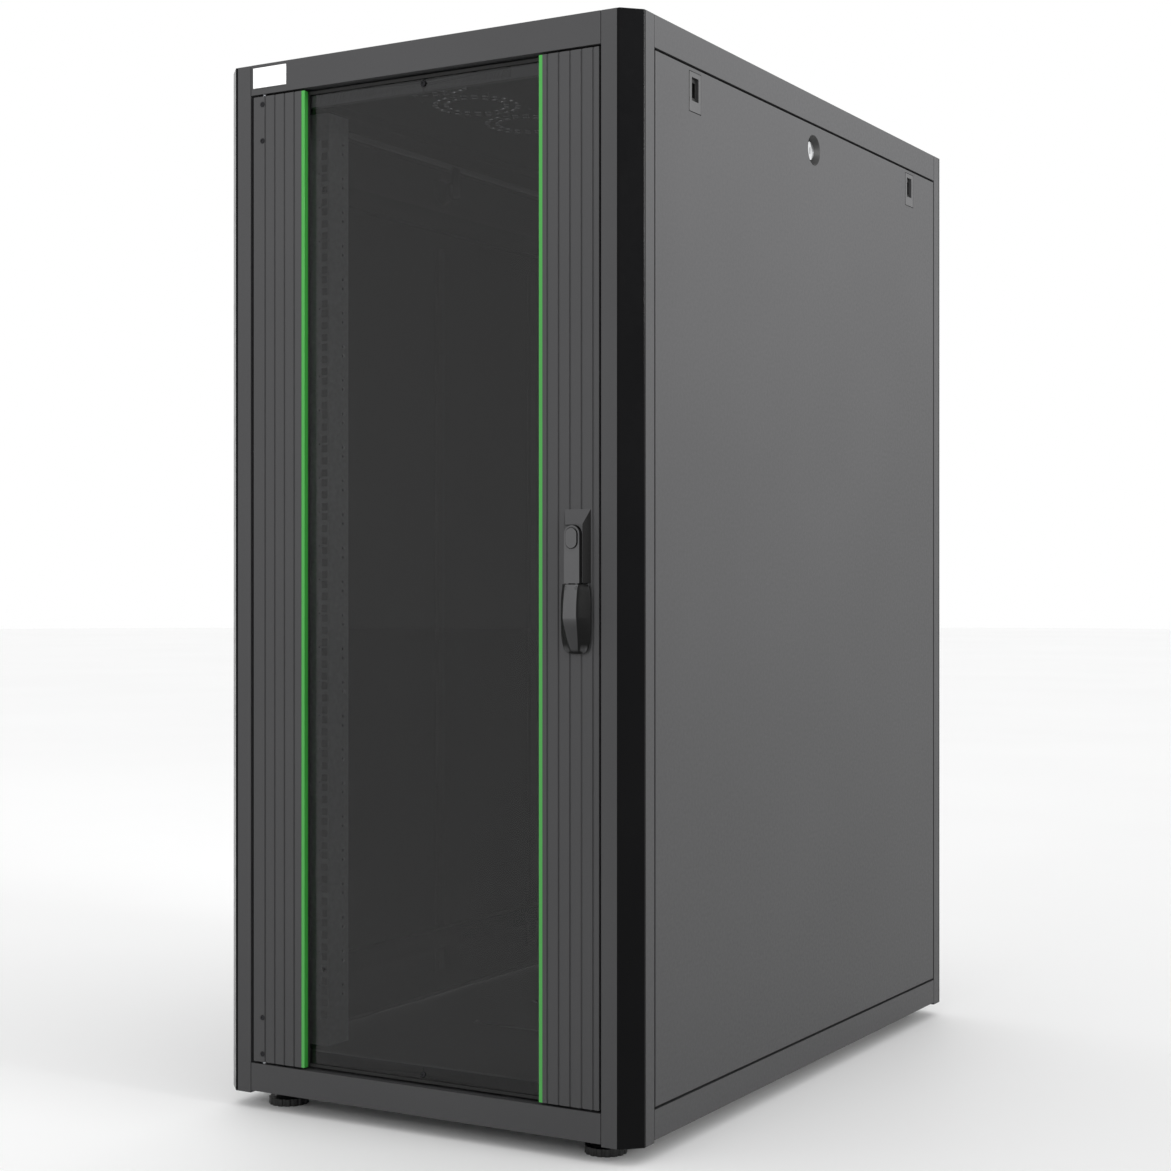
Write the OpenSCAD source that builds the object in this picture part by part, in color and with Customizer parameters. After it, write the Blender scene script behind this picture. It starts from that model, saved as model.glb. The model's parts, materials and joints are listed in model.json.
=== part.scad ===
// Floor-standing 19 inch network cabinet with a framed glass front door, a sheet steel
// rear door and lift-off side panels. +Z is up, -Y is the front, and the origin is on the
// floor under the middle of the cabinet's overall box, handle and rear lock included.

/* [Overall] */
// Width over the outer faces of the side panels
width = 600; // [600:50:800]
// Depth from the front face to the rear face, without handle and lock
depth = 1000; // [800:50:1200]
// Height of the rack space in 44.45 mm units
units = 26; // [18:1:42]
// Standing height of the levelling feet when screwed in
foot_h = 20; // [18:1:22]

/* [Frame] */
// Width of a corner post on its front and side faces
post_w = 45; // [42:1:50]
// Leg of the 45 degree corner chamfer that the black trim strip covers
chamfer = 21; // [14:1:24]
// Thickness of the black trim strip
trim_t = 2.5; // [2:0.5:3]
// Height of the horizontal beams
beam_h = 38; // [34:1:42]
// Depth of the horizontal beams into the cabinet
beam_d = 30; // [26:1:32]
// Sheet thickness of posts, beams and rails
sheet = 2; // [1.5:0.5:2.5]
// Thin sheet of doors and side panels
skin = 1.5; // [1:0.25:2]
// Visible gap round the doors and side panels
gap = 3; // [2:0.5:4]

/* [Rack] */
// Distance from the front face to the mounting face of the front rails
rail_setback = 125; // [90:5:200]
// Clear width between the mounting rails
rail_clear = 450.8; // [450:0.2:451]
// Distance between the two columns of square holes
hole_columns = 465.1; // [464.5:0.1:466]
// Side of a square cage nut hole
hole_side = 9.5; // [9:0.1:9.6]

/* [Front door] */
// Gap between the hinge post and the door
hinge_gap = 5; // [4.5:0.5:6]
// Width of each fluted door column
column_w = 75.5; // [70:0.5:80]
// Thickness of the door columns
column_t = 24; // [22:1:26]
// Spacing of the grooves on the columns
flute_pitch = 15.3; // [14:0.1:17]
// Recess of the glass behind the door face
glass_recess = 12; // [11:0.5:13]
// Glass thickness
glass_t = 4; // [3:0.5:5]
// Width of the green accent strips
accent_w = 4.8; // [4:0.2:6]

/* [Handle] */
// Height of the handle plate's lower end above the floor
handle_z = 583; // [500:1:700]
// Length of the handle plate
handle_len = 167; // [160:1:180]
// Width of the handle housing at the door face
handle_w = 35; // [34:0.5:36]
// How far the grip stands out from the door face
handle_out = 20; // [19:0.5:22]
// How far the rear lock stands out from the rear face
rear_lock_out = 4; // [3:0.5:6]

/* [Side panels] */
// Distance from the front face to the first slide latch
latch_y = 149; // [100:1:250]
// Height of the latch housing's lower edge below the panel's upper edge
latch_drop = 52; // [50:1:60]

/* [Hidden] */
unit_h = 44.45;
end_room = 144.3;
body_h = units * unit_h + end_room;
top = foot_h + body_h;
z_mid = foot_h + body_h / 2;
y_mid = (handle_out - rear_lock_out) / 2;
front = y_mid - depth / 2;
back = y_mid + depth / 2;
half_w = width / 2;
x_post = half_w - post_w;
open_lo = foot_h + beam_h;
open_hi = top - beam_h;
door_lo = open_lo + gap;
door_hi = open_hi - gap;
door_h = door_hi - door_lo;
post_drop = 3;
eps = 0.01;
fine = 48;

// Colours
grey = [0.36, 0.37, 0.38];
inner_grey = [0.42, 0.43, 0.44];
black = [0.06, 0.06, 0.065];
green = [0.18, 0.62, 0.22];
zinc = [0.72, 0.73, 0.74];

// Feet
foot_x = 233;
foot_y = 50;
foot_r = 25;
pad_h = 9;
stem_r = 6;
stem_top = foot_h + 34;
bracket_z = foot_h + 4;
bracket_t = 4;
nut_h = 8;

// Roof
roof_z = top - 8;
vent_x = 107;
vent_y = 168;
vent_step = 130;

// Rack rails
rail_w = 30.6;
rail_d = 45;
lip_d = 43;
rail_end = 34;
rail_x = rail_clear / 2;
rail_lo = z_mid - units * unit_h / 2;
rail_bolt_y = 25;
brace_x = rail_x + rail_w;
brace_w = 16;
brace_h = 26;
brace_z = 138;

// Front door
door_x0 = -x_post + hinge_gap;
door_x1 = x_post - gap;
lip_w = 5.5;
lip_t = 10;
column_wall = 4;
bar_h = 19;
pin_inset = 11;
pin_back = 9;
pin_r = 3;
pin_x = door_x0 + pin_inset;
pin_out = 15;
block_w = 18;
block_h = 90;
screw_x = door_x0 + 14;
screw_z = [10, 56];

// Handle
handle_x = door_x1 - 28;
plate_t = 2.5;
plate_r = 16.5;
housing_out = 9;
housing_slope = 6;
ramp = 17.5;
lever_out = 14;
lever_r = 10.1;
lever_fit = 0.8;
pivot_z = handle_z + 138;
hub_low = handle_z + 81.6;
wing_top = 18.8;
tilt_z = handle_z + 75;
tilt_y = -11;
barrel_r = 5.5;
barrel_w = 20.8;
lug_r = 5;
lug_x = 6;
lug_w = 3;
shaft_r = 5;
tooth_m = 1.5;
teeth = 12;
pitch_r = tooth_m * teeth / 2;
tooth_out = 1.3;
tooth_in = 1.8;
rod_w = 10;
rod_t = 3;
rod_y = column_t + 1.5;
cover_w = 14.5;
cover_h = 23;
cover_t = 1.6;
cover_drop = 4.5;
rivet_up = 2.5;
lock_drop = 8;
grip_base = 3.2;

// Side panels
panel_y0 = front + post_w + gap;
panel_y1 = back - post_w - gap;
panel_lo = open_lo + gap;
panel_hi = open_hi - gap;
tray = 15;
latch_w = 30;
latch_h = 47;
latch_z = panel_hi - latch_drop;
lock_z = top - 74;
dish_r = 20;
core_r = 12;

// ---- helpers ----

// Box between two corners
module span(a, b) {
    translate(a) cube(b - a);
}

// Round bar along Z, Y or X from a low point over a length
module bar_z(at, r, l) {
    translate(at) cylinder(r = r, h = l, $fn = fine);
}

module bar_y(at, r, l) {
    translate(at) rotate([-90, 0, 0]) cylinder(r = r, h = l, $fn = fine);
}

module bar_x(at, r, l) {
    translate(at) rotate([0, 90, 0]) cylinder(r = r, h = l, $fn = fine);
}

// A flat shape in X and Z, given depth from y0 to y1
module along_y(y0, y1) {
    translate([0, y1, 0]) rotate([90, 0, 0]) linear_extrude(y1 - y0) children();
}

// A flat shape in Y and Z, given width from x0 to x1
module along_x(x0, x1) {
    translate([x0, 0, 0]) rotate([90, 0, 90]) linear_extrude(x1 - x0) children();
}

module both_sides() {
    children();
    mirror([1, 0, 0]) children();
}

module both_ends() {
    children();
    translate([0, 2 * y_mid, 0]) mirror([0, 1, 0]) children();
}

module both_levels() {
    children();
    translate([0, 0, 2 * z_mid]) mirror([0, 0, 1]) children();
}

// Half turn about the cabinet's vertical centre line
module turned_back() {
    translate([0, 2 * y_mid, 0]) rotate([0, 0, 180]) children();
}

// Upright slot shape with round ends
module stadium(w, h) {
    square([w, h - w], center = true);
    for (s = [-1, 1]) translate([0, s * (h - w) / 2]) circle(d = w, $fn = fine);
}

// Rectangular tube along X or Y, open at both ends
module tube_x(a, b, t) {
    difference() {
        span(a, b);
        span([a.x - 1, a.y + t, a.z + t], [b.x + 1, b.y - t, b.z - t]);
    }
}

module tube_y(a, b, t) {
    difference() {
        span(a, b);
        span([a.x + t, a.y - 1, a.z + t], [b.x - t, b.y + 1, b.z - t]);
    }
}

// ---- frame ----

// Closed post section with its outer corner cut back for the trim strip
module post_section(cut, inset) {
    far = post_w - inset;
    near = cut + inset * (sqrt(2) - 1);
    polygon([[near, inset], [far, inset], [far, far], [inset, far], [inset, near]]);
}

module corner_posts() {
    cut = chamfer + trim_t * sqrt(2);
    color(grey) both_sides() both_ends() translate([-half_w, front, foot_h]) difference() {
        linear_extrude(body_h) post_section(cut, 0);
        translate([0, 0, sheet]) linear_extrude(body_h - 2 * sheet) post_section(cut, sheet);
        translate([post_w / 2 + 8, post_w / 2 + 8, -1]) cylinder(r = 3, h = sheet + 2, $fn = 24);
    }
}

module corner_trims() {
    cut = chamfer + trim_t * sqrt(2);
    color(black) both_sides() both_ends() translate([-half_w, front, foot_h])
        linear_extrude(body_h) polygon([[chamfer, 0], [cut, 0], [0, cut], [0, chamfer]]);
}

// Narrow joint line where a beam meets a post, cut in the outer face
module joint_line_front(x) {
    span([x - 1, front - 1, foot_h], [x, front + sheet / 2, top + 1]);
}

module cross_beam(lo, hi) {
    difference() {
        tube_x([-x_post, front, lo], [x_post, front + beam_d, hi], sheet);
        both_sides() joint_line_front(x_post);
    }
}

// The hinge bushes sit in the walls that face the door opening
module beam_pair() {
    difference() {
        cross_beam(foot_h + post_drop, open_lo);
        bush_hole(open_lo - 4);
        panel_screw_holes(open_lo - 10);
    }
    difference() {
        cross_beam(open_hi, top);
        bush_hole(open_hi - 1);
        panel_screw_holes(top - 14);
    }
}

module bush_hole(z) {
    bar_z([pin_x, front + pin_back, z], 6, 5);
}

module cross_beams() {
    color(grey) {
        beam_pair();
        turned_back() beam_pair();
    }
}

module panel_screw_holes(z) {
    for (x = [-150, 150]) bar_y([x, front + beam_d - 4, z], 2.5, 6);
}

module side_beam(lo, hi) {
    difference() {
        tube_y([half_w - beam_d, front + post_w, lo], [half_w, back - post_w, hi], sheet);
        both_ends() span([half_w - sheet / 2, front + post_w, lo - 1], [half_w + 1, front + post_w + 1, hi + 1]);
    }
}

module side_beams() {
    color(grey) both_sides() {
        side_beam(foot_h + post_drop, open_lo);
        side_beam(open_hi, top);
    }
}

// Hexagon nut with a round bore
module hex_nut(across, h, bore) {
    difference() {
        cylinder(d = across / cos(30), h = h, $fn = 6);
        translate([0, 0, -1]) cylinder(r = bore, h = h + 2, $fn = fine);
    }
}

module foot_brackets() {
    color(inner_grey) both_sides() both_ends() {
        difference() {
            span([x_post - 50, front + beam_d, bracket_z],
                [half_w - beam_d, front + beam_d + 60, bracket_z + bracket_t]);
            span([x_post, front + beam_d - 1, bracket_z - 1],
                [half_w, front + post_w, bracket_z + bracket_t + 1]);
            bar_z([foot_x, front + foot_y, bracket_z - 1], stem_r + 0.05, bracket_t + 2);
        }
        translate([foot_x, front + foot_y, bracket_z + bracket_t]) hex_nut(19, nut_h, stem_r + 0.05);
    }
}

module foot_nuts() {
    color(zinc) both_sides() both_ends()
        translate([foot_x, front + foot_y, bracket_z + bracket_t + nut_h]) hex_nut(18, 6, stem_r + 0.05);
}

// Pan head screw pointing in +Y with its head's seat at the origin
module screw_y(head_r, head_h, shank_r, l) {
    bar_y([0, -head_h, 0], head_r, head_h);
    bar_y([0, -eps, 0], shank_r, l);
}

// Ring of short slots for a 120 mm fan position
module vent_ring() {
    for (row = [[56, 24], [41, 18]])
        for (i = [0 : row[1] - 1]) rotate(i * 360 / row[1]) translate([row[0], 0]) square([7, 8.5], center = true);
    for (sx = [-1, 1]) for (sy = [-1, 1]) translate([sx * 52.5, sy * 52.5]) circle(r = 2.2, $fn = 24);
}

// Tray with a rim turned down, between the beams
module tray_panel(z, rim) {
    x = half_w - beam_d;
    y0 = front + beam_d;
    y1 = back - beam_d;
    difference() {
        span([-x, y0, z - rim], [x, y1, z + sheet]);
        span([-x + sheet, y0 + sheet, z - rim - 1], [x - sheet, y1 - sheet, z]);
        both_sides() both_ends() cube_cut(x, y0, z - rim);
    }
}

// Clearance notch at the tray's corner for the post
module cube_cut(x, y0, z) {
    span([x_post - 1, y0 - 1, z - 1], [x + 1, y0 + post_w - beam_d + 1, z + 40]);
}

module cable_slot(z, t) {
    span([-150, back - 175, z], [150, back - 95, z + t]);
}

module roof_panel() {
    z = roof_z;
    color(inner_grey) difference() {
        tray_panel(z, 12);
        translate([0, front, z - 1]) linear_extrude(sheet + 2)
            for (x = [-vent_x, vent_x]) for (j = [0 : 2]) translate([x, vent_y + vent_step * j]) vent_ring();
        cable_slot(z - 1, sheet + 2);
        both_ends() panel_screw_cut(top - 14);
    }
}

module floor_panel() {
    z = open_lo - sheet;
    color(inner_grey) difference() {
        tray_panel(z, 14);
        cable_slot(z - 1, sheet + 2);
        span([-130, y_mid - 150, z - 1], [130, y_mid - 10, z + sheet + 1]);
        cover_screws() cylinder(r = 2, h = 2 * sheet + 2, center = true, $fn = 24);
        both_ends() panel_screw_cut(open_lo - 10);
    }
}

// Places of the blanking plate's screws on the floor's upper face
module cover_screws() {
    for (x = [-135, 135]) for (y = [-155, -5]) translate([x, y_mid + y, open_lo]) children();
}

module panel_screw_cut(z) {
    for (x = [-150, 150]) bar_y([x, front + beam_d - 1, z], 2.5, 6);
}

// Blanking plate over the floor's middle opening
module cable_covers() {
    z = open_lo;
    color(grey) difference() {
        span([-140, y_mid - 160, z], [140, y_mid, z + sheet]);
        cover_screws() cylinder(r = 2, h = 2 * sheet + 2, center = true, $fn = 24);
    }
}

// Brush holders with two rows of bristles and a free gap, over the rear cable slots in roof and floor
module cable_brushes() {
    color(black) for (z = [open_lo, roof_z - 8]) {
        difference() {
            span([-156, back - 181, z], [156, back - 89, z + 8]);
            span([-150, back - 175, z - 1], [150, back - 95, z + 9]);
        }
        for (y = [-175, -125]) span([-150, back + y, z + 3], [150, back + y + 30, z + 5]);
    }
}

module depth_rails() {
    y_bolt = rail_setback + rail_bolt_y;
    color(inner_grey) both_sides() for (z = [brace_z, 2 * z_mid - brace_z - brace_h]) difference() {
        tube_y([brace_x, front + post_w, z], [brace_x + brace_w, back - post_w, z + brace_h], sheet);
        both_ends() bar_x([brace_x - 1, front + y_bolt, z + brace_h / 2], 3.2, sheet + 2);
    }
}

// Mounting rail on the +X side, bent from sheet, with square holes and unit marks
module front_rail() {
    lo = rail_lo - rail_end;
    hi = rail_lo + units * unit_h + rail_end;
    y0 = front + rail_setback;
    difference() {
        union() {
            along_y(y0, y0 + sheet) difference() {
                translate([rail_x, lo]) square([rail_w, hi - lo]);
                for (u = [0 : units - 1]) for (h = [6.35, 22.225, 38.1])
                    translate([hole_columns / 2, rail_lo + u * unit_h + h]) square(hole_side, center = true);
                for (u = [0 : units]) translate([rail_x + 15, rail_lo + u * unit_h]) circle(r = 1.6, $fn = 16);
            }
            difference() {
                span([rail_x, y0, lo], [rail_x + sheet, y0 + lip_d, hi]);
                for (u = [0 : units - 1]) for (h = [29.4, 41.4])
                    bar_x([rail_x - 1, y0 + lip_d - 11, rail_lo + u * unit_h + h], 2.5, sheet + 2);
            }
            span([brace_x - sheet, y0, lo], [brace_x, y0 + rail_d, hi]);
        }
        for (z = [brace_z, 2 * z_mid - brace_z - brace_h])
            bar_x([brace_x - sheet - 1, y0 + rail_bolt_y, z + brace_h / 2], 3.2, sheet + 2);
    }
}

module front_rails() {
    color(inner_grey) both_sides() front_rail();
}

module rear_rails() {
    color(inner_grey) both_sides() translate([0, 2 * y_mid, 0]) mirror([0, 1, 0]) front_rail();
}

// Bolts of the rails and screws of the roof and floor trays
module frame_bolts() {
    y_bolt = front + rail_setback + rail_bolt_y;
    color(zinc) both_sides() both_ends() {
        for (z = [brace_z, 2 * z_mid - brace_z - brace_h]) translate([0, y_bolt, z + brace_h / 2]) {
            bar_x([brace_x - sheet - 4, 0, 0], 5, 4);
            bar_x([brace_x - sheet - eps, 0, 0], 3, 10);
        }
        for (z = [top - 14, open_lo - 10]) translate([150, front + beam_d + sheet, z]) {
            bar_y([0, 0, 0], 4, 2.5);
            bar_y([0, -sheet - 3, 0], 2.4, sheet + 3 + eps);
        }
    }
    color(zinc) cover_screws() {
        translate([0, 0, sheet]) cylinder(r = 3.5, h = 2, $fn = 24);
        translate([0, 0, -5]) cylinder(r = 1.95, h = sheet + 5 + eps, $fn = 24);
    }
}

// Blank identification plate on the upper front beam
module badge() {
    color("white") span([-x_post + 5, front - 1.5, open_hi + 8], [-x_post + 57, front, open_hi + 33.6]);
}

module hinge_bush() {
    difference() {
        union() {
            bar_z([0, 0, open_hi], 6, 8);
            bar_z([0, 0, open_hi + sheet], 9, 3);
        }
        bar_z([0, 0, open_hi - 1], pin_r + 0.05, 12);
    }
}

module hinge_bushes() {
    color(zinc) both_levels() {
        translate([pin_x, front + pin_back, 0]) hinge_bush();
        translate([-pin_x, back - pin_back, 0]) hinge_bush();
    }
}

// ---- front door ----

// Half section of a column: a hollow box with a lip that holds the glass, outer edge at x = 0
module column_section(grooves) {
    box_w = column_w - lip_w;
    difference() {
        union() {
            square([box_w, column_t]);
            square([column_w, lip_t]);
        }
        translate([sheet, column_wall]) square([box_w - 2 * sheet, column_t - column_wall - sheet]);
        for (g = grooves) translate([g, 0]) polygon([[-1.4, -eps], [1.4, -eps], [0.4, 1.5], [-0.4, 1.5]]);
    }
}

module column_left() {
    color(grey) difference() {
        translate([door_x0, front, door_lo]) linear_extrude(door_h)
            column_section([for (i = [0 : 3]) 18.2 + i * flute_pitch]);
        both_levels() for (z = screw_z) bar_y([screw_x, front - 1, door_hi - z], 2.1, 8);
    }
}

module column_right() {
    color(grey) difference() {
        translate([door_x1, front, door_lo]) mirror([1, 0, 0]) linear_extrude(door_h)
            column_section([for (i = [0 : 4]) 7.6 + i * flute_pitch]);
        bar_y([handle_x, front - 1, pivot_z], shaft_r + 0.3, column_t + 2);
    }
}

module door_bars() {
    color(inner_grey) both_levels() difference() {
        span([door_x0 + column_w - lip_w, front + glass_recess + glass_t, door_hi - bar_h],
            [door_x1 - column_w + lip_w, front + column_t, door_hi]);
        bar_y([glass_mid(), front, door_hi - bar_h / 2], 2.1, 30);
    }
}

function glass_mid() = (door_x0 + door_x1) / 2;

module green_strips() {
    color(green) for (x = [door_x0 + column_w, door_x1 - column_w - accent_w])
        span([x, front, door_lo], [x + accent_w, front + glass_recess - 4.8, door_hi]);
}

module glass_pane() {
    edge = column_w - lip_w + 0.5;
    color([0.12, 0.13, 0.13, 0.6]) difference() {
        span([door_x0 + edge, front + glass_recess, door_lo + 1],
            [door_x1 - edge, front + glass_recess + glass_t, door_hi - 1]);
        both_levels() bar_y([glass_mid(), front, door_hi - bar_h / 2], 2.6, 30);
    }
}

module glass_gasket() {
    color(black) for (side = [0, 1]) translate([side * (door_x0 + door_x1), 0, 0]) mirror([side, 0, 0]) {
        span([door_x0 + column_w - lip_w, front + lip_t, door_lo],
            [door_x0 + column_w, front + glass_recess, door_hi]);
        span([door_x0 + column_w, front + glass_recess - 4.8, door_lo],
            [door_x0 + column_w + accent_w, front + glass_recess, door_hi]);
    }
    color(black) both_levels() span([door_x0 + column_w + accent_w, front + glass_recess - 2, door_hi - 4],
        [door_x1 - column_w - accent_w, front + glass_recess, door_hi]);
}

module hinge_blocks() {
    color(zinc) both_levels() difference() {
        span([door_x0 + sheet, front + column_wall, door_hi - block_h],
            [door_x0 + sheet + block_w, front + column_t - sheet, door_hi]);
        bar_z([pin_x, front + pin_back, door_hi - block_h / 2], pin_r, block_h);
        for (z = screw_z) bar_y([screw_x, front, door_hi - z], 2.05, 12);
    }
}

module hinge_pins() {
    color(zinc) both_levels() bar_z([pin_x, front + pin_back, door_hi - block_h / 2], pin_r, block_h / 2 + pin_out);
}

module door_screws() {
    color(black) both_levels() {
        for (z = screw_z) translate([screw_x, front, door_hi - z]) screw_y(3.4, 1, 2, 5);
        translate([glass_mid(), front + glass_recess, door_hi - bar_h / 2]) screw_y(4, 2, 2.05, 10);
    }
}

// Bridge behind the right column that a lock rod slides through
module rod_guide(x, z) {
    y = front + column_t;
    difference() {
        span([x - 5, y, z], [x + rod_w + 5, y + 8, z + 16]);
        span([x - 0.5, y - 1, z - 1], [x + rod_w + 0.5, y + rod_t + 2, z + 17]);
    }
}

module rod_guides() {
    color(black) {
        for (z = [pivot_z + 150, door_hi - 60]) rod_guide(rod_x(1), z);
        for (z = [pivot_z - 166, door_lo + 44]) rod_guide(rod_x(-1), z);
    }
}

function rod_x(side) = handle_x + side * (pitch_r + tooth_in) + (side < 0 ? -rod_w : 0);

// Low housing with slanted sides and a sloped upper end, from z0 up to the handle's top
module housing_block(z0) {
    z1 = handle_z + handle_len;
    half = handle_w / 2;
    inner = half - housing_slope;
    intersection() {
        translate([handle_x, front, z0]) linear_extrude(z1 - z0)
            polygon([[-half, 0], [half, 0], [inner, -housing_out], [-inner, -housing_out]]);
        along_x(handle_x - half, handle_x + half)
            polygon([[front, z1], [front - housing_out, z1 - ramp], [front - housing_out, z0], [front, z0]]);
    }
}

// Fixed plate with the sloped upper end and the side wall right of the lever
module handle_base() {
    reach = lever_r + lever_fit;
    color(black) difference() {
        union() {
            along_y(front - plate_t, front) translate([handle_x, handle_z + 1 + plate_r]) {
                translate([-plate_r, 0]) square([2 * plate_r, 64]);
                circle(r = plate_r, $fn = fine);
            }
            difference() {
                housing_block(hub_low + 0.4);
                translate([0, -plate_t, 0]) {
                    bar_y([handle_x, front - 40, pivot_z], reach, 40);
                    span([handle_x - 40, front - 40, handle_z], [handle_x, front, pivot_z + reach]);
                    span([handle_x - 1, front - 40, handle_z], [handle_x + reach, front, pivot_z]);
                }
            }
        }
        bar_y([handle_x, front - 40, pivot_z], shaft_r + 0.05, 60);
        span([handle_x - 20, front - plate_t - 1, tilt_z - 6], [handle_x + 20, front - 1.2, hub_low + 0.4]);
    }
}

// Swinging upper part of the lever, with the shaft that goes through the door. Its left
// wing completes the housing beside the lever and turns with it.
module handle_hub() {
    low = hub_low - pivot_z;
    color(grey) difference() {
        union() {
            translate([handle_x, front, pivot_z]) {
                along_y(-lever_out, -plate_t - 0.5) {
                    circle(r = lever_r, $fn = fine);
                    translate([-lever_r, low]) square([2 * lever_r, -low]);
                }
                for (s = [-1, 1]) translate([s * lug_x - lug_w / 2, 0, 0]) lug(tilt_z - pivot_z);
                bar_y([0, -plate_t - 1, 0], shaft_r, plate_t + 1 + rod_y + rod_t + 3);
            }
            intersection() {
                housing_block(hub_low);
                span([handle_x - 40, front - 40, hub_low], [handle_x, front - plate_t - 0.5, pivot_z - wing_top]);
            }
        }
        translate([handle_x, front, pivot_z]) {
            bar_x([-20, tilt_y, tilt_z - pivot_z], 1.55, 40);
            bar_y([0, -lever_out - 1, -lock_drop], 5.55, 9.1);
            translate([0, 0, -cover_drop]) along_y(-lever_out - 1, -lever_out + 1.2) difference() {
                stadium(cover_w + 2.4, cover_h + 2.4);
                stadium(cover_w, cover_h);
            }
            bar_y([0, -lever_out - 1, rivet_up], 1.25, 7);
        }
    }
}

module lug(z) {
    bar_x([0, tilt_y, z], lug_r, lug_w);
    span([0, tilt_y - 2.6, z], [lug_w, tilt_y + 2.2, z + 9]);
}

// Outline points of tooth i, half its thickness as y at each radius, turned to its place
function tooth(i) = let (a = (i + 0.5) * 360 / teeth)
    [for (p = [[pitch_r - tooth_in, -1], [pitch_r, -0.95], [pitch_r + tooth_out, -0.4],
        [pitch_r + tooth_out, 0.4], [pitch_r, 0.95], [pitch_r - tooth_in, 1]])
        [p.x * cos(a) - p.y * sin(a), p.x * sin(a) + p.y * cos(a)]];

// Straight-sided gear with backlash, cut to mesh with the rods
module handle_pinion() {
    color(zinc) translate([handle_x, front, pivot_z]) along_y(rod_y, rod_y + rod_t) difference() {
        polygon([for (i = [0 : teeth - 1]) each tooth(i)]);
        circle(r = shaft_r, $fn = fine);
    }
}

// Tilting grip, hinged to the hub at its upper barrel
module handle_grip() {
    color(grey) translate([handle_x, front, tilt_z]) difference() {
        hull() {
            bar_x([-barrel_w / 2, tilt_y, 0], barrel_r, barrel_w);
            along_y(-grip_base - 1, -grip_base) {
                polygon([[17.5, 5], [19.5, -3], [20.5, -18], [20.5, -38], [-20.5, -38], [-20.5, -18],
                    [-19.5, -3], [-17.5, 5]]);
                translate([0, 1 - tilt_z + handle_z + 17.5]) circle(r = 17.8, $fn = fine);
            }
            for (s = [-1, 1]) {
                grip_edge(s * 8.5, 17.5, -18);
                grip_edge(s * 8.5, 17.5, -32);
                grip_edge(s * 5.5, 9.8, -57);
                grip_edge(s * 3, 6.6, -68);
            }
        }
        for (s = [-1, 1]) bar_x([s * lug_x - lug_w / 2 - 0.4, tilt_y, 0], barrel_r + 0.7, lug_w + 0.8);
        bar_x([-10, tilt_y, 0], 1.5, 20);
    }
}

// Rounded corner of the grip's raised face
module grip_edge(x, out, z) {
    translate([x, -out, z]) sphere(r = handle_out - 17.5, $fn = 32);
}

module lever_pin() {
    color(zinc) bar_x([handle_x - 10, front + tilt_y, tilt_z], 1.5, 20);
}

module lock_cylinder() {
    color(zinc) translate([handle_x, front, pivot_z - lock_drop]) difference() {
        bar_y([0, -lever_out, 0], 5.5, 8);
        span([-0.7, -lever_out - 1, -3.5], [0.7, -lever_out + 4, 3.5]);
    }
}

// Dust cover that turns aside on its rivet to free the key way
module lock_cover() {
    color(grey) translate([handle_x, front, pivot_z]) {
        translate([0, 0, -cover_drop]) along_y(-lever_out - 0.2 - cover_t, -lever_out - 0.2) stadium(cover_w, cover_h);
        bar_y([0, -lever_out - 1, rivet_up], 1.2, 6);
    }
}

// Flat lock rod with a rack at its end; side is 1 for the upper rod
module lock_rod(side) {
    pitch = PI * tooth_m;
    end_z = side > 0 ? door_hi + 1 : door_lo - 1;
    near_z = pivot_z - side * 22;
    x0 = rod_x(side);
    edge = side > 0 ? x0 : x0 + rod_w;
    color(zinc) along_y(front + rod_y, front + rod_y + rod_t) {
        translate([x0, min(near_z, end_z)]) square([rod_w, abs(end_z - near_z)]);
        for (i = [-1 : 5]) translate([edge, pivot_z + side * i * pitch]) mirror([side > 0 ? 0 : 1, 0])
            polygon([[eps, -1.6], [eps, 1.6], [-tooth_in, 1], [-tooth_in - tooth_out, 0.5],
                [-tooth_in - tooth_out, -0.5], [-tooth_in, -1]]);
    }
}

module rod_top() {
    lock_rod(1);
}

module rod_bottom() {
    lock_rod(-1);
}

// ---- rear door, drawn at the front and turned round ----

module door_tray(x0, x1) {
    difference() {
        span([x0, front, door_lo], [x1, front + 20, door_hi]);
        span([x0 + skin, front + skin, door_lo + skin], [x1 - skin, front + 21, door_hi - skin]);
    }
}

lock_x = door_x1 - 33;

module rear_skin() {
    color(grey) turned_back() difference() {
        door_tray(door_x0, door_x1);
        both_levels() bar_z([pin_x, front + pin_back, door_hi - 4], pin_r + 0.4, 8);
        bar_y([lock_x, front - 1, z_mid], 10.1, 5);
    }
}

// Top-hat stiffener standing upright on a skin whose inner face is at y = 0
module hat(l, d) {
    difference() {
        translate([-20, 0, 0]) cube([40, d, l]);
        translate([-12 + skin, -1, -1]) cube([24 - 2 * skin, d + 1 - skin, l + 2]);
        for (s = [-1, 1]) translate([s * 16 - 4.01, skin, -1]) cube([8.02, d, l + 2]);
    }
}

module rear_stiffeners() {
    color(inner_grey) turned_back() for (x = [-90, 90])
        translate([x, front + skin, door_lo + 30]) hat(door_h - 60, 14);
}

module rear_hinge_blocks() {
    color(zinc) turned_back() both_levels() difference() {
        span([door_x0 + skin, front + skin, door_hi - skin - 60], [door_x0 + 20, front + 18, door_hi - skin]);
        bar_z([pin_x, front + pin_back, door_hi - 45], pin_r, 60);
    }
}

module rear_hinge_pins() {
    color(zinc) turned_back() both_levels()
        bar_z([pin_x, front + pin_back, door_hi - 45], pin_r, 45 + pin_out);
}

module rear_lock_body() {
    color(zinc) turned_back() difference() {
        union() {
            bar_y([lock_x, front - 2, z_mid], 14, 2);
            bar_y([lock_x, front - eps, z_mid], 10, 20);
        }
        bar_y([lock_x, front - 3, z_mid], 7.05, 30);
    }
}

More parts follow.
